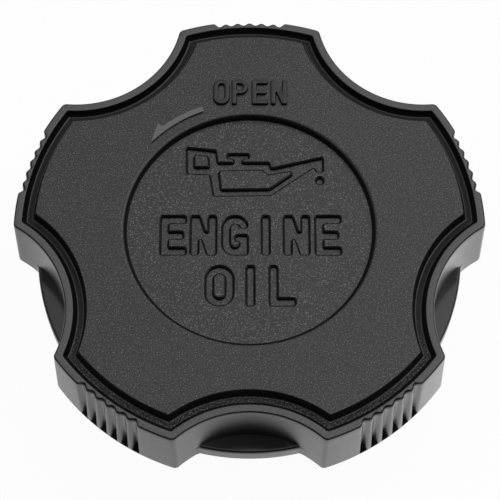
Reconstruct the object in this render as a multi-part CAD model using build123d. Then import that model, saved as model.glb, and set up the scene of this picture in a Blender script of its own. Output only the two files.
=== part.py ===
from build123d import *
import math
import os

# Oil filler cap: a five-lobed hand knob, moulded in one with its flange and its hollow screw plug,
# and a rubber seal ring. Millimetres, +Z out of the top. The origin is on the axis, in the plane where the
# seal meets the rim of the filler neck, and +Y points through the middle of one lobe.

# Plan of the raised plateau: lobe ends on one circle, with a round bay between each two lobes
lobe_count = 5
plateau_radius = 30.0
bay_radius = 17.0
bay_centre = 41.25
plateau_corner = 0.3

# Groove and rim that run round the plateau, and the drafted outer wall below the rim
groove_width = 1.85
groove_depth = 2.8
rim_width = 1.15
rim_drop = 0.75
rim_corner = 1.0
rim_edge = 0.3
wall_draft = 3.5
plateau_height = 12.0

# Round recess in the middle of the plateau, with a steep wall below a bevelled lip
recess_radius = 17.1
recess_wall = 0.45
recess_draft = 8.0
recess_lip = 0.6

# Flutes on the lobe ends, deeper at the rim than at the foot, where they end above a thin lip
flute_count = 6
flute_pitch = 3.08
flute_radius = 1.2
flute_top_offset = 0.4
flute_foot_offset = 0.65
flute_lip = 0.5

# Round flange that shows in the bays
flange_radius = 30.45
flange_thickness = 2.9
flange_edge = 0.4

# Screw plug: neck for the seal, threaded barrel with a lead-in, and a hollow open at the end
neck_radius = 16.0
barrel_radius = 17.5
barrel_length = 12.0
lead_in = 1.2
bore_radius = 13.5
top_wall = 3.0

# Seal ring, let into a seat in the underside of the flange
seal_width = 4.2
seal_thickness = 3.0
seal_bevel = 0.6
seal_clearance = 0.1
seat_depth = 1.0

# Cores in the underside that leave an even wall in the lobes, with a web on each bay's middle line
shell_wall = 2.4
seat_wall = 1.6
web_thickness = 2.4
core_corner = 1.0
core_roof = 2.5

# Worked-out levels and radii: the knob's own heights count from its underside, the others from the origin
rim_height = plateau_height - rim_drop
groove_floor = plateau_height - groove_depth
lip_level = plateau_height - recess_lip
recess_floor = lip_level - recess_wall
recess_wall_top = recess_radius + recess_wall * math.tan(math.radians(recess_draft))
draft_run = rim_height * math.tan(math.radians(wall_draft))
rim_offset = groove_width + rim_width
foot_offset = rim_offset + draft_run
foot_radius = plateau_radius + foot_offset
rim_radius = plateau_radius + rim_offset
bay_foot_radius = bay_radius - foot_offset
bay_rim_radius = bay_radius - rim_offset
knob_base = seal_thickness - seat_depth
flange_top = knob_base + flange_thickness
bore_roof = knob_base + recess_floor - top_wall
plug_end = -barrel_length
seal_inner = neck_radius + seal_clearance
seal_outer = seal_inner + seal_width
seat_radius = seal_outer + seal_clearance
core_height = groove_floor - core_roof
lobe_step = 360 / lobe_count
first_lobe = 90
first_bay = first_lobe + lobe_step / 2
standing = (Align.CENTER, Align.CENTER, Align.MIN)
hanging = (Align.CENTER, Align.CENTER, Align.MAX)


def knob_face(offset, corner):
    # The plateau's plan moved outwards by an offset, with its corners rounded
    lobe = plateau_radius + offset
    bay = bay_radius - offset
    across = (bay_centre**2 + lobe**2 - bay**2) / (2 * bay_centre * lobe)
    half_gap = math.acos(across)
    corner_x = bay_centre - lobe * math.cos(half_gap)
    corner_y = lobe * math.sin(half_gap)
    half_bay = math.degrees(math.atan2(corner_y, corner_x))
    half_lobe = lobe_step / 2 - math.degrees(half_gap)
    edges = []
    for index in range(lobe_count):
        lobe_angle = first_lobe + index * lobe_step
        bay_angle = lobe_angle + lobe_step / 2
        middle = Vector(bay_centre, 0).rotate(Axis.Z, bay_angle)
        edges.append(CenterArc((0, 0), lobe, lobe_angle - half_lobe, 2 * half_lobe))
        edges.append(CenterArc(middle, bay, bay_angle + 180 + half_bay, -2 * half_bay))
    face = make_face(edges)
    return fillet(face.vertices(), corner)


def turned(points):
    # A solid of revolution about the axis from an outline in the half plane X >= 0
    return revolve(make_face(Plane.XZ * Polyline(points, close=True)), Axis.Z)


def knob_shell():
    # A drafted round block with drafted bays cut out of it, then the groove sunk in it round the plateau
    shell = Rot(0, 0, first_bay) * Cone(foot_radius, rim_radius, rim_height, align=standing)
    bay = Cone(bay_foot_radius, bay_rim_radius, rim_height, align=standing)
    for index in range(lobe_count):
        shell -= Rot(0, 0, first_bay + index * lobe_step) * Pos(bay_centre, 0) * bay
    shell = fillet(shell.edges().filter_by(GeomType.CIRCLE, reverse=True), rim_corner)
    shell = chamfer(shell.faces().sort_by(Axis.Z)[-1].outer_wire().edges(), rim_edge)
    trench = extrude(knob_face(groove_width, plateau_corner), groove_depth)
    plateau = extrude(knob_face(0, plateau_corner), groove_depth)
    shell -= Pos(0, 0, groove_floor) * trench
    return shell + Pos(0, 0, groove_floor) * plateau


def recess():
    # Round cut in the plateau: flat floor, steep wall, bevelled lip
    return turned(
        [
            (0, recess_floor),
            (recess_radius, recess_floor),
            (recess_wall_top, lip_level),
            (recess_wall_top + recess_lip, plateau_height),
            (0, plateau_height),
        ]
    )


def flute(angle):
    # One leaning round cut, through the lip's level at the foot and through the rim
    rise = rim_height - flute_lip
    lip_radius = rim_radius + rise * math.tan(math.radians(wall_draft))
    foot_centre = lip_radius + flute_foot_offset
    lean = rim_radius + flute_top_offset - foot_centre
    stand = Plane(origin=(foot_centre, 0, flute_lip), x_dir=(0, 1, 0), z_dir=(lean, 0, rise))
    return Rot(0, 0, angle) * (stand * Cylinder(flute_radius, 2 * rim_height))


def all_flutes():
    # The flutes of every lobe end, kept above the lip
    cuts = Part()
    for index in range(lobe_count):
        for place in range(flute_count):
            step = place - (flute_count - 1) / 2
            cuts += flute(first_lobe + index * lobe_step + step * flute_pitch)
    below = Cylinder(foot_radius + 2 * flute_radius, 2 * rim_height, align=hanging)
    return cuts - Pos(0, 0, flute_lip) * below


def flange():
    disc = Cylinder(flange_radius, flange_thickness, align=standing)
    return chamfer(disc.edges().filter_by(GeomType.CIRCLE).sort_by(Axis.Z)[-1], flange_edge)


def plug():
    # Neck, threaded barrel at its crest radius and the lead-in, as one turned form
    return turned(
        [
            (0, flange_top),
            (neck_radius, flange_top),
            (neck_radius, 0),
            (barrel_radius, 0),
            (barrel_radius, plug_end + lead_in),
            (barrel_radius - lead_in, plug_end),
            (0, plug_end),
        ]
    )


def bore():
    return turned([(0, plug_end), (bore_radius, plug_end), (bore_radius, bore_roof), (0, bore_roof)])


def seal_seat():
    return turned([(neck_radius, 0), (seat_radius, 0), (seat_radius, seat_depth), (neck_radius, seat_depth)])


def lobe_cores():
    # The plan inside the shell wall, less the ring round the seat and a web in each bay
    plan = knob_face(foot_offset - shell_wall, core_corner) - Circle(seat_radius + seat_wall)
    for index in range(lobe_count):
        web = Rectangle(bay_centre, web_thickness, align=(Align.MIN, Align.CENTER))
        plan -= Rot(0, 0, first_bay + index * lobe_step) * web
    return extrude(plan, core_height)


def cap_body():
    knob = knob_shell() - recess() - all_flutes()
    knob += flange()
    knob -= [seal_seat(), lobe_cores()]
    return Pos(0, 0, knob_base) * knob + plug() - bore()


def seal_ring():
    section = Rectangle(seal_width, seal_thickness, align=(Align.MIN, Align.MIN))
    section = chamfer(section.vertices(), seal_bevel)
    return revolve(Plane.XZ * (Pos(seal_inner, 0) * section), Axis.Z)


os.makedirs("parts", exist_ok=True)
nodes = {"cap_body": cap_body(), "seal_ring": seal_ring()}
for name, shape in nodes.items():
    export_step(shape, f"parts/{name}.step")
    box = shape.bounding_box()
    print(f"{name}: {len(shape.solids())} solid, {shape.volume:.1f} mm3, {box.min} to {box.max}")
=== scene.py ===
from math import acos, asin, atan2, ceil, cos, degrees, hypot, pi, radians, sin, tan

import bmesh
import bpy
from mathutils import Matrix, Vector


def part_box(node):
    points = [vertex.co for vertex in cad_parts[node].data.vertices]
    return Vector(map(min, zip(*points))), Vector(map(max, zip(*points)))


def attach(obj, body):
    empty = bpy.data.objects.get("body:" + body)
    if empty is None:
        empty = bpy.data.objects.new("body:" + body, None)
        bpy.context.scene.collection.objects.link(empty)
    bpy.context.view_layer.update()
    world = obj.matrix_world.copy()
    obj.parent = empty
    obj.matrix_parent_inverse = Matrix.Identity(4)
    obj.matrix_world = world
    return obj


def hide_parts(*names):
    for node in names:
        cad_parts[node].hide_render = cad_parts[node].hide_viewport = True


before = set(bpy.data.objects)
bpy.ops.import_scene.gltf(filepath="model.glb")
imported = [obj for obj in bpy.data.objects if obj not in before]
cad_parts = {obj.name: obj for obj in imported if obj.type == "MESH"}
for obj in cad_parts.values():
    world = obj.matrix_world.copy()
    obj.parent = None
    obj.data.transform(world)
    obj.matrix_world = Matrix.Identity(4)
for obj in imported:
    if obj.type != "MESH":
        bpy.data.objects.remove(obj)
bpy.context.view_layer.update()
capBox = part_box("cap_body")
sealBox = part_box("seal_ring")
mm = 0.001                                     # sizes below are in millimetres


# Shader graphs

class Wire:                                    # one output socket, so that shader maths reads as sums
    def __init__(self, graph, socket):
        self.graph = graph
        self.socket = socket

    def __add__(self, other):
        return self.graph.maths("ADD", self, other)

    def __radd__(self, other):
        return self.graph.maths("ADD", other, self)

    def __sub__(self, other):
        return self.graph.maths("SUBTRACT", self, other)

    def __rsub__(self, other):
        return self.graph.maths("SUBTRACT", other, self)

    def __mul__(self, other):
        return self.graph.maths("MULTIPLY", self, other)

    def __rmul__(self, other):
        return self.graph.maths("MULTIPLY", other, self)


class Graph:
    def __init__(self, tree):
        self.tree = tree
        tree.nodes.clear()

    def node(self, kind, settings, sockets, output=0):        # settings first, then values or links
        made = self.tree.nodes.new(kind)
        for name, value in settings.items():
            setattr(made, name, value)
        for name, value in sockets.items():
            if isinstance(value, Wire):
                self.tree.links.new(value.socket, made.inputs[name])
            else:
                made.inputs[name].default_value = value
        return Wire(self, made.outputs[output]) if made.outputs else None

    def maths(self, operation, first, second):
        return self.node("ShaderNodeMath", dict(operation=operation), {0: first, 1: second})

    def blend(self, factor, low, high):        # two colours mixed
        return self.node("ShaderNodeMix", dict(data_type="RGBA"), {0: factor, 6: low, 7: high}, 2)

    def step(self, value, low, high):          # 0 at low and before it, 1 at high and past it
        settings = dict(interpolation_type="SMOOTHSTEP")
        sockets = {"Value": value, "From Min": low, "From Max": high}
        return self.node("ShaderNodeMapRange", settings, sockets)

    def near(self, value, middle, reach):      # 1 close to the middle, 0 beyond the reach
        rise = self.step(value, middle - reach, middle - reach / 2)
        return rise * self.step(value, middle + reach, middle + reach / 2)

    def noise(self, where, scale, detail):
        return self.node("ShaderNodeTexNoise", {}, {"Vector": where, "Scale": scale, "Detail": detail})

    def part(self, vector, axis):              # one coordinate of a vector
        return self.node("ShaderNodeSeparateXYZ", {}, {0: vector}, axis)

    def ray(self, kind):                       # 1 for camera rays, mirror rays and so on
        return self.node("ShaderNodeLightPath", {}, {}, kind)


def grey(level):
    return (level, level, level, 1)


def newMaterial(name):                         # also its graph, and places on a piece in millimetres
    material = bpy.data.materials.new(name)
    material.use_nodes = True
    g = Graph(material.node_tree)
    where = g.node("ShaderNodeTexCoord", {}, {}, "Object")
    inMm = g.node("ShaderNodeVectorMath", dict(operation="SCALE"), {0: where, "Scale": 1 / mm})
    return material, g, inMm


def addMoulded(g, colour, roughness, relief, ior):            # the relief is in millimetres
    bump = g.node("ShaderNodeBump", {}, {"Strength": 1.0, "Distance": mm, "Height": relief})
    shader = g.node("ShaderNodeBsdfPrincipled", {}, {
        "Base Color": colour, "Roughness": roughness, "Normal": bump, "IOR": ior,
    })
    g.node("ShaderNodeOutputMaterial", {}, {"Surface": shader})


noiseMiddle = 0.5
blackPlastic = dict(
    base=0.0032, flecks=0.165, grooveFlecks=0.12,             # linear greys: moulding, its grain, and the groove's flecks as a painted sheen at the front
    rim=0.095, rimShare=0.6, arrow=0.115,      # painted highlights: lighter rim and arrow tops, where they catch the light
    topRoughness=0.40, wallRoughness=0.32, grooveRoughness=0.82, flangeRoughness=0.13,
    grainSheen=0.10, cloudSheen=0.08, dragSheen=0.10,         # how far each noise sways the roughness
    grainScale=5.0, fineScale=9.0,             # grains per millimetre on the flat tops
    cloudScale=0.12, dragScale=0.9,            # the mould's unevenness, and marks on the drawn walls
    fleckRange=(0.54, 0.63), grooveRange=(0.53, 0.62),        # noise that shows as flecks
    frontSheenRange=(-6.0, -24.0),                 # painted sheen: the groove's flecks show only towards the front
    coarseShare=0.7, grainHeight=0.040, wallHeight=0.0012,    # relief, in millimetres
    ior=1.5,
)
faceMask = dict(
    flatRange=(0.9, 0.99), floorRange=(0.985, 0.999),         # how far tops and floors look up
    recessRange=(20.0, 19.5),                  # radii
    gap=0.1, rimReach=0.1, arrowReach=0.06,    # between levels
)


def makeBlackPlastic():
    look, mask = blackPlastic, faceMask
    material, g, inMm = newMaterial("blackPlastic")
    across, along, height = g.part(inMm, "X"), g.part(inMm, "Y"), g.part(inMm, "Z")
    upward = g.part(g.node("ShaderNodeNewGeometry", {}, {}, "True Normal"), "Z")

    def above(level):                          # 1 on what lies clear of a level
        return g.step(height, level + mask["gap"], level + 3 * mask["gap"])

    # Tops have grain, and so have the strokes in the recess, though they are as deep as the bare groove
    flat = g.step(upward, *mask["flatRange"])
    recessStart, recessFull = mask["recessRange"]
    strokeFloor = plateauTop - recess["depth"] - legend["depth"]
    inRecess = g.step(across * across + along * along, recessStart**2, recessFull**2)
    inRecess = inRecess * above(strokeFloor - 4 * mask["gap"])
    topFace = flat * g.maths("MAXIMUM", above(grooveFloor), inRecess)
    aboveFlange = above(flangeTop)
    rimHighlight = g.near(height, rimTop, mask["rimReach"]) * topFace
    arrowTop, arrowReach = plateauTop + arrow["rise"], mask["arrowReach"]
    arrowHighlight = g.near(height, arrowTop, arrowReach) * topFace
    onWord = g.step(height, arrowTop + arrowReach / 2, arrowTop + arrowReach)

    grain = g.noise(inMm, look["grainScale"], detail=2.0)
    fine = g.noise(inMm, look["fineScale"], detail=1.0)
    cloud = g.noise(inMm, look["cloudScale"], detail=2.0)
    drag = g.noise(inMm, look["dragScale"], detail=3.0)
    flecks = g.step(0.5 * (grain + fine), *look["fleckRange"]) * topFace * (1.0 - onWord)
    # painted sheen: lighter flecks on the groove floor, towards the front only
    frontSheen = g.step(along, *look["frontSheenRange"])
    grooveFlecks = g.step(grain, *look["grooveRange"]) * frontSheen * flat * aboveFlange * (1.0 - topFace)
    colour = g.blend(flecks, grey(look["base"]), grey(look["flecks"]))
    colour = g.blend(grooveFlecks, colour, grey(look["grooveFlecks"]))
    # painted highlights: the rim's and the arrow's tops made lighter where they catch the light
    colour = g.blend(rimHighlight * look["rimShare"], colour, grey(look["rim"]))
    colour = g.blend(arrowHighlight, colour, grey(look["arrow"]))

    topRough = look["topRoughness"] + look["grainSheen"] * (grain - noiseMiddle)
    topRough = topRough + look["cloudSheen"] * (cloud - noiseMiddle)
    wallRough = look["wallRoughness"] + look["dragSheen"] * (drag - noiseMiddle)
    flangeRough, grooveRough = look["flangeRoughness"], look["grooveRoughness"]
    floorRough = flangeRough + aboveFlange * (grooveRough - flangeRough)
    lowRough = wallRough + g.step(upward, *mask["floorRange"]) * (floorRough - wallRough)
    roughness = lowRough + topFace * (topRough - lowRough)
    grained = look["coarseShare"] * grain + (1 - look["coarseShare"]) * fine
    relief = topFace * grained * look["grainHeight"] + drag * look["wallHeight"]
    addMoulded(g, colour, roughness, relief, look["ior"])
    return material


sealRubber = dict(
    base=0.012, bloom=0.022, bloomScale=0.35, bloomRange=(0.4, 0.75),     # pale bloom that rubber gets
    roughness=0.58, poreScale=5.0, poreSheen=0.2, poreHeight=0.01,
    ior=1.52,
)


def makeSealRubber():
    look = sealRubber
    material, g, inMm = newMaterial("sealRubber")
    bloom = g.noise(inMm, look["bloomScale"], detail=4.0)
    pores = g.noise(inMm, look["poreScale"], detail=2.0)
    colour = g.blend(g.step(bloom, *look["bloomRange"]), grey(look["base"]), grey(look["bloom"]))
    roughness = look["roughness"] + look["poreSheen"] * (pores - noiseMiddle)
    addMoulded(g, colour, roughness, look["poreHeight"] * pores, look["ior"])
    return material


# Mesh tools

meshing = dict(
    weld=0.0004,                               # points closer than this are joined
    sharpAngle=32, ringSteps=192,              # degrees, and points round a turned form
)


class Skin:                                    # one mesh, from closed loops of points in millimetres
    def __init__(self):
        self.mesh = bmesh.new()

    def loop(self, points):
        return [self.mesh.verts.new(Vector(point) * mm) for point in points]

    def strip(self, first, second):            # quads between two loops with as many points
        for here in range(len(first)):
            there = here - 1
            self.mesh.faces.new((first[there], first[here], second[here], second[there]))

    def stack(self, rings, start=None):        # walls through rings, from a loop that exists or a new one
        loops = [start] if start else []
        loops += [self.loop(ring) for ring in rings]
        for first, second in zip(loops, loops[1:]):
            self.strip(first, second)
        return loops[0], loops[-1]

    def fill(self, *loops):                    # flat face between loops, with holes and islands
        edges = []
        for loop in loops:
            for ends in zip(loop, loop[1:] + loop[:1]):
                edges.append(self.mesh.edges.get(ends) or self.mesh.edges.new(ends))
        bmesh.ops.triangle_fill(self.mesh, use_beauty=True, edges=edges)

    def finish(self, name, material):
        weld = meshing["weld"] * mm
        bmesh.ops.remove_doubles(self.mesh, verts=self.mesh.verts, dist=weld)
        bmesh.ops.dissolve_degenerate(self.mesh, edges=self.mesh.edges, dist=weld)
        bmesh.ops.recalc_face_normals(self.mesh, faces=self.mesh.faces)
        data = bpy.data.meshes.new(name)
        self.mesh.to_mesh(data)
        self.mesh.free()
        data.materials.append(material)
        data.set_sharp_from_angle(angle=radians(meshing["sharpAngle"]))
        piece = bpy.data.objects.new(name, data)
        bpy.context.scene.collection.objects.link(piece)
        weights = piece.modifiers.new("flatFacesStayFlat", "WEIGHTED_NORMAL")
        weights.keep_sharp = True
        print(name, len(data.polygons), "faces")
        return piece


def rounded(corners, closed=True, turn=15):    # arcs at (x, y, radius) corners, up to turn degrees a step
    path = []
    for place, (x, y, radius) in enumerate(corners):
        atEnd = not closed and place in (0, len(corners) - 1)
        if atEnd or not radius:
            path.append((x, y))
            continue
        here = Vector((x, y))
        back = (Vector(corners[place - 1][:2]) - here).normalized()
        ahead = (Vector(corners[(place + 1) % len(corners)][:2]) - here).normalized()
        half = back.angle(ahead) / 2
        centre = here + (back + ahead).normalized() * radius / sin(half)
        spoke = here + back * radius / tan(half) - centre
        sweep = (pi - 2 * half) * (1 if ahead.cross(back) > 0 else -1)
        steps = max(2, ceil(degrees(abs(sweep)) / turn))
        for step in range(steps + 1):
            path.append(tuple(centre + Matrix.Rotation(sweep * step / steps, 2) @ spoke))
    return path


def circle(radius, level, count=meshing["ringSteps"]):
    turns = [2 * pi * place / count for place in range(count)]
    return [(radius * cos(turn), radius * sin(turn), level) for turn in turns]


def lathe(profile):                            # rings of a turned form from (radius, level) points
    return [circle(radius, level) for radius, level in profile]


def grown(path, gap):                          # a closed path moved to its right by a gap
    mostStretch = 2                            # at a sharp corner
    moved = []
    for place, point in enumerate(path):
        here = Vector(point)
        into = (here - Vector(path[place - 1])).normalized()
        out = (Vector(path[(place + 1) % len(path)]) - here).normalized()
        side = Vector((into.y + out.y, -into.x - out.x)).normalized()
        lean = max(1 / mostStretch, side.dot(Vector((into.y, -into.x))))
        moved.append(tuple(here + side * gap / lean))
    return moved


def atLevel(path, level):
    return [(x, y, level) for x, y in path]


# Plan of the knob: lobe ends, rounded corners and bays, moved outwards by an offset

knob = dict(
    lobes=5, firstLobe=90.0,
    plateauRadius=30.0, bayRadius=18.1, bayCentre=42.5,
    plateauCorner=0.3, cornerGrowth=0.05,      # the growth is for each millimetre across the groove
    rimCorner=0.85,
    grooveWidth=1.87, grooveDepth=1.6,
    plateauRun=0.33, rimRun=0.50,              # how far the groove's two walls lean in towards its floor
    rimOffset=3.03, rimDrop=0.6, rimEdge=0.3, rimInnerEdge=0.20,
    plateauEdge=0.16, grooveFillet=0.30,
    wallDraft=2.0, footEdge=0.3,
    flangeRadius=30.4, flangeThickness=2.9, flangeEdge=0.4,
)
flutes = dict(
    count=6, pitch=3.08,                       # the pitch is in degrees
    valleyTop=0.55, valleyFoot=0.95,           # deeper at the foot, for the land leans out and they don't
    ribTop=0.25, ribFoot=0.0,                  # how far the ribs lie below the land
    footWidth=0.70, lip=0.4,                   # share of the pitch at the foot, and the lip below it
    edgeGrowth=1.6, edgeRest=0.08,             # wider rounding above a flute, and the rim that stays flat
)
recess = dict(
    shift=-0.35,                               # off the axis, towards the front
    radius=17.2, wallRun=0.10, depth=1.05, lipRound=0.72, footRound=0.15,
)
under = dict(
    shellWall=2.4, seatWall=1.6, web=2.4,      # what the cores leave standing
    corner=1.2, coreRoof=3.7, roofEdge=0.3, mouth=0.2,
    seatRadius=20.4, seatDepth=1.0, seatRound=0.15, neckRadius=16.0,
)
plug = dict(
    crest=17.5, leadIn=1.2, endFlat=1.0,
    boreRadius=13.5, boreMouth=0.4, boreRoof=9.95, boreRound=1.0, roofHub=1.0,
    pitch=4.4, depth=1.2, floor=1.0,           # groove of the right-hand thread
    loadFlank=0.35, leadFlank=0.75,
    collar=4.2,                                # plain part above the thread
)
plateauTop = capBox[1].z / mm
plugEnd = capBox[0].z / mm
knobBase = sealBox[1].z / mm - under["seatDepth"]
rimTop = plateauTop - knob["rimDrop"]
grooveFloor = plateauTop - knob["grooveDepth"]
lipLevel = knobBase + flutes["lip"]
flangeTop = knobBase + knob["flangeThickness"]
lobeStep = 360 / knob["lobes"]
middlePlace = (flutes["count"] - 1) / 2
fluteCentres = [(place - middlePlace) * flutes["pitch"] for place in range(flutes["count"])]
fluteSteps, landSteps, cornerSteps, baySteps = 12, 8, 6, 36   # round the plan
edgeSteps, wallSteps, footSteps, coreSteps = 5, 12, 4, 16


def lobeAngles(halfLobe, reach):               # degrees off a lobe's axis: land, flutes, land
    edge = fluteCentres[-1] + reach
    ribs = [(first + second) / 2 for first, second in zip(fluteCentres, fluteCentres[1:])]
    stops = [-halfLobe, -edge, *ribs, edge, halfLobe]
    counts = [landSteps] + [fluteSteps] * flutes["count"] + [landSteps]
    angles = []
    for low, high, count in zip(stops, stops[1:], counts):
        angles += [low + (high - low) * step / count for step in range(count)]
    return angles + [halfLobe]


def outline(offset, corner, reach=flutes["pitch"] / 2):
    # points of the plan as (x, y, angle off the lobe's axis or None)
    lobe = knob["plateauRadius"] + offset
    bay = knob["bayRadius"] - offset
    far = knob["bayCentre"]
    inner = lobe - corner
    gap = acos((far**2 + inner**2 - (bay + corner)**2) / (2 * far * inner))
    halfLobe = lobeStep / 2 - degrees(gap)
    cornerMid = Vector((inner * cos(gap), inner * sin(gap)))  # seen with the bay on the X axis
    bayTurn = atan2(cornerMid.y, far - cornerMid.x)
    side = []                                  # one corner and half a bay, mirrored for the other half
    for step in range(1, cornerSteps + 1):
        turn = gap - (gap + bayTurn) * step / cornerSteps
        side.append((cornerMid.x + corner * cos(turn), cornerMid.y + corner * sin(turn)))
    for step in range(1, baySteps // 2 + 1):
        turn = pi - bayTurn * (1 - 2 * step / baySteps)
        side.append((far + bay * cos(turn), bay * sin(turn)))
    points = []
    for index in range(knob["lobes"]):
        lobeAxis = knob["firstLobe"] + index * lobeStep
        for angle in lobeAngles(halfLobe, reach):
            turn = radians(lobeAxis + angle)
            points.append((lobe * cos(turn), lobe * sin(turn), angle))
        spin = Matrix.Rotation(radians(lobeAxis + lobeStep / 2), 2)
        into = [spin @ Vector((x, -y)) for x, y in side]
        away = [spin @ Vector((x, y)) for x, y in reversed(side[:-1])]
        points += [(x, y, None) for x, y in into + away]
    return points


def plan(offset, corner, level):
    return [(x, y, level) for x, y, angle in outline(offset, corner)]


def landOffset(level):                         # the drafted wall's offset at a level
    return knob["rimOffset"] + (rimTop - level) * tan(radians(knob["wallDraft"]))


def atRise(foot, top, level):                  # a value between the flutes' foot and the rim
    return foot + (top - foot) * (level - lipLevel) / (rimTop - lipLevel)


def fluteReach(level):                         # degrees from a flute's centre to where it ends
    return flutes["pitch"] / 2 * atRise(flutes["footWidth"], 1.0, level)


def fluteCut(angle, level):                    # depth of the rounded flutes below the land
    off = min(abs(angle - middle) for middle in fluteCentres)
    outside = abs(angle) > fluteCentres[-1]
    rib = 0.0 if outside else atRise(flutes["ribFoot"], flutes["ribTop"], level)
    valley = atRise(flutes["valleyFoot"], flutes["valleyTop"], level)
    swell = (1 + cos(pi * min(1.0, off / fluteReach(level)))) / 2
    return rib + (valley - rib) * swell


def wallRing(level, inset=0.0, drop=0.0, fluted=True, floor=0.0):
    # the outer wall at a level, drawn in and down for its rounded edge, and no nearer the axis than floor
    ring = []
    reach = fluteReach(level) if fluted else flutes["pitch"] / 2
    rimWidth = knob["rimOffset"] - knob["grooveWidth"]
    for x, y, angle in outline(landOffset(level) - inset, knob["rimCorner"], reach):
        radius = hypot(x, y)
        share, wanted = 1.0, radius
        if angle is not None and fluted:
            cut = fluteCut(angle, level)
            mostShare = (rimWidth - cut - flutes["edgeRest"]) / knob["rimEdge"]
            share = min(1 + flutes["edgeGrowth"] * cut, mostShare)
            wanted = radius + inset - cut - inset * share
        wanted = max(wanted, floor)
        ring.append((x * wanted / radius, y * wanted / radius, level - drop * share))
    return ring


# Words and signs, as plain strokes: each letter by its width, its height and its stroke

def letterE(w, h, s):
    low, high, bar = (h - s) / 2, (h + s) / 2, 0.9 * w
    end, nook = 0.34 * s, 0.16 * s
    return [[
        (0, 0, end), (w, 0, end), (w, s, end), (s, s, nook), (s, low, nook), (bar, low, end),
        (bar, high, end), (s, high, nook), (s, h - s, nook), (w, h - s, end), (w, h, end), (0, h, end),
    ]]


def letterN(w, h, s):
    end, nook, slant, foot = 0.34 * s, 0.16 * s, 0.42 * h, 1.1 * s
    return [[
        (0, 0, end), (s, 0, end), (s, h - slant, nook), (w - foot, 0, end), (w, 0, end),
        (w, h, end), (w - s, h, end), (w - s, slant, nook), (foot, h, end), (0, h, end),
    ]]


def letterG(w, h, s):
    end, nook = 0.34 * s, 0.1 * s
    outer, inner, chin = 0.48 * w, 0.2 * w, 0.3 * w
    cut, bar, tip = 0.68 * h, 0.52 * h, 0.48 * w              # end of the bow, and the bar's top and tip
    barFoot = bar - 0.85 * s
    return [[
        (w, cut, end), (w, h, outer), (0, h, outer), (0, 0, outer), (0.8 * w, 0, chin), (w, 0, end),
        (w, bar, end), (tip, bar, end), (tip, barFoot, end), (w - s, barFoot, nook),
        (w - s, s, inner), (s, s, inner), (s, h - s, inner), (w - s, h - s, inner), (w - s, cut, end),
    ]]


def letterI(w, h, s):
    end = 0.34 * s
    return [[(0, 0, end), (s, 0, end), (s, h, end), (0, h, end)]]


def letterL(w, h, s):
    end, nook = 0.34 * s, 0.12 * s
    return [[(0, 0, end), (w, 0, end), (w, s, end), (s, s, nook), (s, h, end), (0, h, end)]]


def letterO(w, h, s):
    outer, inner = 0.49 * w, 0.49 * (w - 2 * s)
    return [
        [(0, 0, outer), (w, 0, outer), (w, h, outer), (0, h, outer)],
        [(s, s, inner), (s, h - s, inner), (w - s, h - s, inner), (w - s, s, inner)],
    ]


def letterP(w, h, s):
    end, nook, waist = 0.25 * s, 0.16 * s, 0.42 * h
    outer, inner = 0.28 * h, 0.28 * h - s
    return [
        [(0, 0, end), (s, 0, end), (s, waist, nook), (w, waist, outer), (w, h, outer), (0, h, end)],
        [(s, waist + s, nook), (s, h - s, nook), (w - s, h - s, inner), (w - s, waist + s, inner)],
    ]


letters = dict(E=letterE, N=letterN, G=letterG, I=letterI, L=letterL, O=letterO, P=letterP)
legend = dict(
    lines=[
        dict(word="ENGINE", starts=(-12.53, -8.31, -3.9, 1.64, 4.72, 9.14), foot=-4.22),
        dict(word="OIL", starts=(-6.19, -0.5, 2.7), foot=-11.86, widths=(4.06, 3.74, 3.74)),
    ],
    width=3.74, height=6.1, stroke=1.26,
    depth=0.55, lean=0.14, edge=0.20, edgeFall=0.14,          # leaning walls below bevelled edges
)
openMark = dict(
    word="OPEN", starts=(-5.18, -2.51, 0.36, 3.09), foot=18.79,
    width=2.26, height=3.9, stroke=0.62,
    rise=0.5, lean=0.08, edge=0.1,
)
arrow = dict(
    inner=18.89, outer=19.55, barb=20.34,      # radii
    start=110.4, neck=129.4, barbTurn=129.8, tip=137.5,       # degrees
    bend=2.0,                                  # degrees between points of its arcs
    rise=0.32, lean=0.08, edge=0.06,
)
oilCan = dict(
    body=[
        (-5.12, 4.85), (3.00, 4.93), (9.29, 9.43), (9.40, 8.60), (10.51, 8.60), (10.54, 10.97),
        (10.11, 10.96), (3.10, 9.26), (2.88, 10.20), (-0.98, 10.20), (-0.98, 10.71), (0.01, 10.71),
        (0.01, 11.57), (-3.23, 11.57), (-3.23, 10.71), (-2.30, 10.71), (-2.30, 10.20), (-4.46, 10.20),
        (-4.71, 12.09), (-9.05, 12.60), (-8.93, 8.32), (-5.68, 8.23),
    ],
    handleGap=[(-7.78, 9.51), (-7.80, 11.31), (-5.95, 11.14), (-5.78, 9.51)],
    tank=[(-3.98, 5.94), (-4.30, 8.83), (1.80, 8.92), (2.56, 8.15), (6.66, 8.92), (2.79, 6.03)],
    corner=0.24, cornerTurn=30,
    drop=(9.95, 7.28), dropRadius=0.63, dropSteps=24,
)


def wordPaths(line, size):
    paths = []
    widths = line.get("widths") or [size["width"]] * len(line["word"])
    for letter, start, width in zip(line["word"], line["starts"], widths):
        for shape in letters[letter](width, size["height"], size["stroke"]):
            placed = [(x + start, y + line["foot"], radius) for x, y, radius in shape]
            paths.append(rounded(placed))
    return paths


def oilCanPaths():
    paths = []
    for part in ("body", "handleGap", "tank"):
        corners = [(x, y, oilCan["corner"]) for x, y in oilCan[part]]
        paths.append(rounded(corners, turn=oilCan["cornerTurn"]))
    x, y = oilCan["drop"]
    ring = circle(oilCan["dropRadius"], 0, oilCan["dropSteps"])
    paths.append([(x + ox, y + oy) for ox, oy, level in ring])
    return paths


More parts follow.
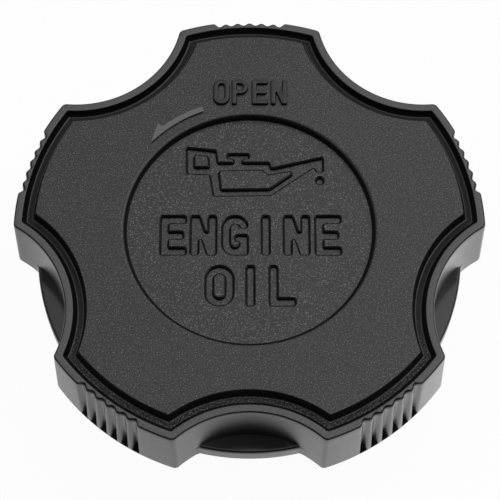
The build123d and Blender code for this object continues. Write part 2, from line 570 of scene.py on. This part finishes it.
def arrowPath():                               # half arrow on the circle of the recess
    path = []
    for radius, start, end in (("inner", "tip", "start"), ("outer", "start", "neck")):
        sweep = arrow[end] - arrow[start]
        steps = ceil(abs(sweep) / arrow["bend"])
        for step in range(steps + 1):
            path.append((arrow[radius], arrow[start] + sweep * step / steps))
    path.append((arrow["barb"], arrow["barbTurn"]))
    return [(radius * cos(radians(turn)), radius * sin(radians(turn))) for radius, turn in reversed(path)]


def carve(skin, paths, level, profile):        # walls along paths, closed at one end; returns the other
    starts, ends = [], []
    for path in paths:
        start, end = skin.stack([atLevel(grown(path, gap), level + rise) for gap, rise in profile])
        starts.append(start)
        ends.append(end)
    skin.fill(*ends)
    return starts


def engrave(skin, paths, level, size):         # strokes with bevelled edges, sunk in a flat face
    half = size["edge"] / 2
    profile = [(half, 0), (-half, -size["edgeFall"]), (-half - size["lean"], -size["depth"])]
    return carve(skin, paths, level, profile)


def emboss(skin, paths, level, size):          # strokes with rounded edges, raised from a flat face
    edge, rise = size["edge"], size["rise"]
    bend = 0.3 * edge                          # half way round the edge
    profile = [(size["lean"], 0), (0, rise - edge), (-bend, rise - bend), (-edge, rise)]
    return carve(skin, paths, level, profile)


# Cap body: knob, flange and plug in one skin

def addTop(skin):                              # recess, plateau and groove, up to the rim's inner edge
    guide = 2.0                                # end flats of a profile, which only aim its roundings
    floorLevel = plateauTop - recess["depth"]
    foot = recess["radius"]
    lip = foot + recess["wallRun"]
    dish = rounded([
        (foot - guide, floorLevel, 0), (foot, floorLevel, recess["footRound"]),
        (lip, plateauTop, recess["lipRound"]), (lip + guide, plateauTop, 0),
    ], closed=False, turn=8)[1:-1]
    rings = []
    for ring in lathe(dish):
        rings.append([(x, y + recess["shift"], level) for x, y, level in ring])
    floorEdge, dishEdge = skin.stack(rings)
    signs = oilCanPaths()
    for line in legend["lines"]:
        signs += wordPaths(line, legend)
    cuts = engrave(skin, signs, floorLevel, legend)
    skin.fill(floorEdge, *cuts)

    feet = emboss(skin, wordPaths(openMark, openMark), plateauTop, openMark)
    feet += emboss(skin, [arrowPath()], plateauTop, arrow)
    width, fillet = knob["grooveWidth"], knob["grooveFillet"]
    section = rounded([
        (-guide, plateauTop, 0), (0, plateauTop, knob["plateauEdge"]),
        (knob["plateauRun"], grooveFloor, fillet), (width - knob["rimRun"], grooveFloor, fillet),
        (width, rimTop, knob["rimInnerEdge"]), (width + guide, rimTop, 0),
    ], closed=False, turn=18)[1:-1]
    rings = []
    for offset, level in section:
        corner = knob["plateauCorner"] + knob["cornerGrowth"] * max(0, offset)
        rings.append(plan(offset, corner, level))
    plateauEdge, rimInner = skin.stack(rings)
    skin.fill(dishEdge, plateauEdge, *feet)
    return rimInner


def quarter(radius):                           # a rounded edge as (inset, drop) pairs
    turns = [radians(90 * step / edgeSteps) for step in range(edgeSteps + 1)]
    return [(radius * (1 - sin(turn)), radius * (1 - cos(turn))) for turn in turns]


def levelsDown(top, bottom, steps):            # even levels below the top
    return [top + (bottom - top) * step / steps for step in range(1, steps + 1)]


def addWall(skin, rimInner):                   # rim and its rounded edge, fluted wall, flange and foot
    flange = knob["flangeRadius"]
    rings = []
    for inset, drop in quarter(knob["rimEdge"]):
        rings.append(wallRing(rimTop, inset, drop))
    for level in levelsDown(rimTop - knob["rimEdge"], flangeTop, wallSteps):
        rings.append(wallRing(level))
    for inset, drop in quarter(knob["flangeEdge"]):
        rings.append(wallRing(flangeTop - drop, floor=flange - inset))
    for level in levelsDown(flangeTop - knob["flangeEdge"], lipLevel, footSteps):
        rings.append(wallRing(level, floor=flange))
    rings.append(wallRing(lipLevel, fluted=False, floor=flange))
    for rise, inset in quarter(knob["footEdge"])[1:]:         # turned over
        rings.append(wallRing(knobBase + rise, inset, fluted=False, floor=flange - inset))
    return skin.stack(rings, start=rimInner)[1]


def corePath(index):                           # one core between two webs
    offset = landOffset(knobBase) - under["shellWall"]
    halfWeb = under["web"] / 2
    ring = under["seatRadius"] + under["seatWall"]
    lobeAxis = knob["firstLobe"] + index * lobeStep
    lobeTurn = radians(lobeStep / 2)
    back = Matrix.Rotation(radians(-lobeAxis), 2)
    arc = []
    for x, y, angle in outline(offset, under["corner"]):
        here = back @ Vector((x, y))
        turn = atan2(here.y, here.x)
        if abs(turn) < lobeTurn and here.length * sin(lobeTurn - abs(turn)) > halfWeb:
            arc.append((turn, tuple(here)))
    outer = [here for turn, here in sorted(arc)]
    limit = lobeTurn - asin(halfWeb / ring)
    inner = []
    for step in range(coreSteps + 1):
        turn = limit - 2 * limit * step / coreSteps
        inner.append((ring * cos(turn), ring * sin(turn)))
    spin = Matrix.Rotation(radians(lobeAxis), 2)
    return [tuple(spin @ Vector(point)) for point in outer + inner]


def addUnderside(skin, footEdge):              # cores, seat of the seal, plug and its bore
    mouths = []
    roof, edge, rim = grooveFloor - under["coreRoof"], under["roofEdge"], under["mouth"]
    for index in range(knob["lobes"]):
        core = corePath(index)
        mouth, top = skin.stack([
            atLevel(grown(core, rim), knobBase), atLevel(core, knobBase + rim),
            atLevel(core, roof - edge), atLevel(grown(core, -edge), roof),
        ])
        skin.fill(top)
        mouths.append(mouth)
    seat, neck, bend = under["seatRadius"], under["neckRadius"], under["seatRound"]
    seatLevel = knobBase + under["seatDepth"]
    neckProfile = rounded([
        (seat, knobBase, 0), (seat, seatLevel, bend), (neck, seatLevel, bend), (neck, 0.0, bend),
        (plug["crest"], 0.0, 0),
    ], closed=False)
    seatEdge = skin.stack(lathe(neckProfile))[0]
    tip = addBarrel(skin)
    bore, boreRoof = plug["boreRadius"], plug["boreRoof"]
    boreProfile = rounded([
        (bore + plug["endFlat"], plugEnd, 0), (bore, plugEnd, plug["boreMouth"]),
        (bore, boreRoof, plug["boreRound"]), (plug["roofHub"], boreRoof, 0),
    ], closed=False)
    roofEdge = skin.stack([tip] + lathe(boreProfile))[1]
    skin.fill(roofEdge)
    skin.fill(footEdge, seatEdge, *mouths)


barrelSteps = meshing["ringSteps"]
threadStart = plugEnd - plug["floor"] - 2 * plug["leadFlank"]             # below the plug's end
threadTop = -plug["collar"] - plug["leadFlank"] - plug["floor"] / 2
threadTurns = round((threadTop - threadStart) / plug["pitch"] * barrelSteps) / barrelSteps
threadLaps = range(ceil(threadTurns) + 1)
leadSteps = 4
slack = 1e-6                                   # of a turn


def barrelRadius(turn, level, turns):          # crest, lead-in and groove, at a turn from its start
    radius = plug["crest"] - max(0.0, plugEnd + plug["leadIn"] - level)
    for lap in threadLaps:
        if not 0 <= turn + lap <= turns + slack:
            continue
        above = level - threadStart - plug["pitch"] * (turn + lap)
        flank = plug["leadFlank"] if above > 0 else plug["loadFlank"]
        beyond = max(0.0, abs(above) - plug["floor"] / 2)
        radius = min(radius, plug["crest"] - plug["depth"] + beyond * plug["depth"] / flank)
    return radius


def barrelColumn(turn, turns):                 # (radius, level) down the barrel, with the groove's edges
    half = plug["floor"] / 2
    marks = [0.0, plugEnd]
    marks += [plugEnd + plug["leadIn"] * step / leadSteps for step in range(1, leadSteps + 1)]
    for lap in threadLaps:
        middle = threadStart + plug["pitch"] * (turn + lap)
        for gap in (-half - plug["loadFlank"], -half, half, half + plug["leadFlank"]):
            marks.append(min(0.0, max(plugEnd, middle + gap)))
    return [(barrelRadius(turn, level, turns), level) for level in sorted(marks, reverse=True)]


def addBarrel(skin):                           # threaded barrel, column by column; returns its lower edge
    columns, tip = [], []
    for place in range(barrelSteps + 1):
        angle = 2 * pi * place / barrelSteps
        turn = place / barrelSteps - knob["firstLobe"] / 360
        ends = [threadTurns]
        if abs((threadTurns - turn) % 1.0) < slack:           # the groove's blunt end
            ends.append(threadTurns - 1 / barrelSteps)
        for turns in ends:
            column = [(r * cos(angle), r * sin(angle), level) for r, level in barrelColumn(turn, turns)]
            columns.append(skin.loop(column))
        if place < barrelSteps:
            tip.append(column[-1])
    for first, second in zip(columns, columns[1:]):
        for upper in range(len(first) - 1):
            lower = upper + 1
            skin.mesh.faces.new((first[upper], second[upper], second[lower], first[lower]))
    return tip


def makeCapBody():
    skin = Skin()
    rimInner = addTop(skin)
    print("top of the knob done")
    footEdge = addWall(skin, rimInner)
    print("fluted wall done")
    addUnderside(skin, footEdge)
    print("underside and plug done")
    piece = skin.finish("capBody", makeBlackPlastic())
    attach(piece, "root")
    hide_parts("cap_body")


# Seal ring: rounded rubber section with a fine parting ridge

seal = dict(inner=16.1, corner=0.7, ridge=0.08)


def makeSealRing():
    low, high = sealBox[0].z / mm, sealBox[1].z / mm
    outer = sealBox[1].x / mm
    middle, ridge = (low + high) / 2, seal["ridge"]
    section = rounded([
        (seal["inner"], low, seal["corner"]), (outer - ridge, low, seal["corner"]),
        (outer - ridge, middle - ridge, 0), (outer, middle, 0), (outer - ridge, middle + ridge, 0),
        (outer - ridge, high, seal["corner"]), (seal["inner"], high, seal["corner"]),
    ])
    skin = Skin()
    first, last = skin.stack(lathe(section))
    skin.strip(last, first)
    piece = skin.finish("sealRing", makeSealRubber())
    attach(piece, "root")
    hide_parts("seal_ring")


# Studio: pale floor, soft light from a bright ceiling over a dark horizon, camera

studio = dict(
    floorRadius=450.0, floorSteps=96, floorTone=0.86, floorGlow=0.965,
    floorLeft=1.00, floorRight=1.65, floorTurn=45.0,          # the floor as the cap's walls mirror it
    frontShadow=0.86, frontStart=-22.0, frontEnd=-45.0,         # painted shadow: the floor as mirrored is darker in front of the cap
    ceilingLeft=0.86, ceilingRight=2.05, ceilingTurn=0.34,    # brighter to the right
    horizon=0.05, horizonTop=0.42, ceilingStart=0.74,         # by the height of the direction
    backStart=-0.42, backEnd=-0.12,            # dark behind the camera
)
shot = dict(place=(0.0688, -111.6489, 259.8605), pitch=23.6623, lens=139.3634, nearest=10.0)


def seenPlainly(g):                            # camera, mirror and glass rays
    seen = g.maths("MAXIMUM", g.ray("Is Glossy Ray"), g.ray("Is Transmission Ray"))
    return g.maths("MAXIMUM", g.ray("Is Camera Ray"), seen)


def makeFloor():
    material, g, inMm = newMaterial("paleFloor")
    matt = g.node("ShaderNodeBsdfDiffuse", {}, {"Color": grey(studio["floorTone"])})
    side = g.step(g.part(inMm, "X"), -studio["floorTurn"], studio["floorTurn"])
    mirrored = g.blend(side, grey(studio["floorLeft"]), grey(studio["floorRight"]))
    # painted shadow of the cap, on the floor as mirrors see it
    front = g.step(g.part(inMm, "Y"), studio["frontStart"], studio["frontEnd"])
    mirrored = g.blend(front * (1 - studio["frontShadow"]), mirrored, grey(0.0))
    shown = g.blend(g.ray("Is Glossy Ray"), grey(1.0), mirrored)
    glow = g.node("ShaderNodeEmission", {}, {"Color": shown, "Strength": 1.0})
    share = seenPlainly(g) * studio["floorGlow"]
    mixed = g.node("ShaderNodeMixShader", {}, {0: share, 1: matt, 2: glow})
    g.node("ShaderNodeOutputMaterial", {}, {"Surface": mixed})

    mesh = bmesh.new()
    rim = circle(studio["floorRadius"], plugEnd, studio["floorSteps"])
    mesh.faces.new([mesh.verts.new(Vector(point) * mm) for point in rim])
    data = bpy.data.meshes.new("floor")
    mesh.to_mesh(data)
    mesh.free()
    data.materials.append(material)
    floor = bpy.data.objects.new("floor", data)
    bpy.context.scene.collection.objects.link(floor)


def makeLight():
    world = bpy.data.worlds.new("studio")
    world.use_nodes = True
    bpy.context.scene.world = world
    g = Graph(world.node_tree)
    direction = g.node("ShaderNodeTexCoord", {}, {}, "Generated")
    side = g.step(g.part(direction, "X"), -studio["ceilingTurn"], studio["ceilingTurn"])
    ceiling = g.blend(side, grey(studio["ceilingLeft"]), grey(studio["ceilingRight"]))
    rise = g.step(g.part(direction, "Z"), studio["horizonTop"], studio["ceilingStart"])
    rise = rise * g.step(g.part(direction, "Y"), studio["backStart"], studio["backEnd"])
    sky = g.blend(rise, grey(studio["horizon"]), ceiling)
    dome = g.node("ShaderNodeBackground", {}, {"Color": sky, "Strength": 1.0})
    white = g.node("ShaderNodeBackground", {}, {"Color": grey(1.0), "Strength": 1.0})
    mixed = g.node("ShaderNodeMixShader", {}, {0: g.ray("Is Camera Ray"), 1: dome, 2: white})
    g.node("ShaderNodeOutputWorld", {}, {"Surface": mixed})


def makeCamera():
    data = bpy.data.cameras.new("camera")
    data.lens = shot["lens"]
    data.clip_start = shot["nearest"] * mm
    camera = bpy.data.objects.new("camera", data)
    camera.location = Vector(shot["place"]) * mm
    camera.rotation_euler = (radians(shot["pitch"]), 0, 0)
    bpy.context.scene.collection.objects.link(camera)
    bpy.context.scene.camera = camera


makeCamera()
makeFloor()
makeLight()
print("studio done")
makeCapBody()
makeSealRing()
bpy.context.scene.view_settings.view_transform = "Standard"
bpy.context.view_layer.update()
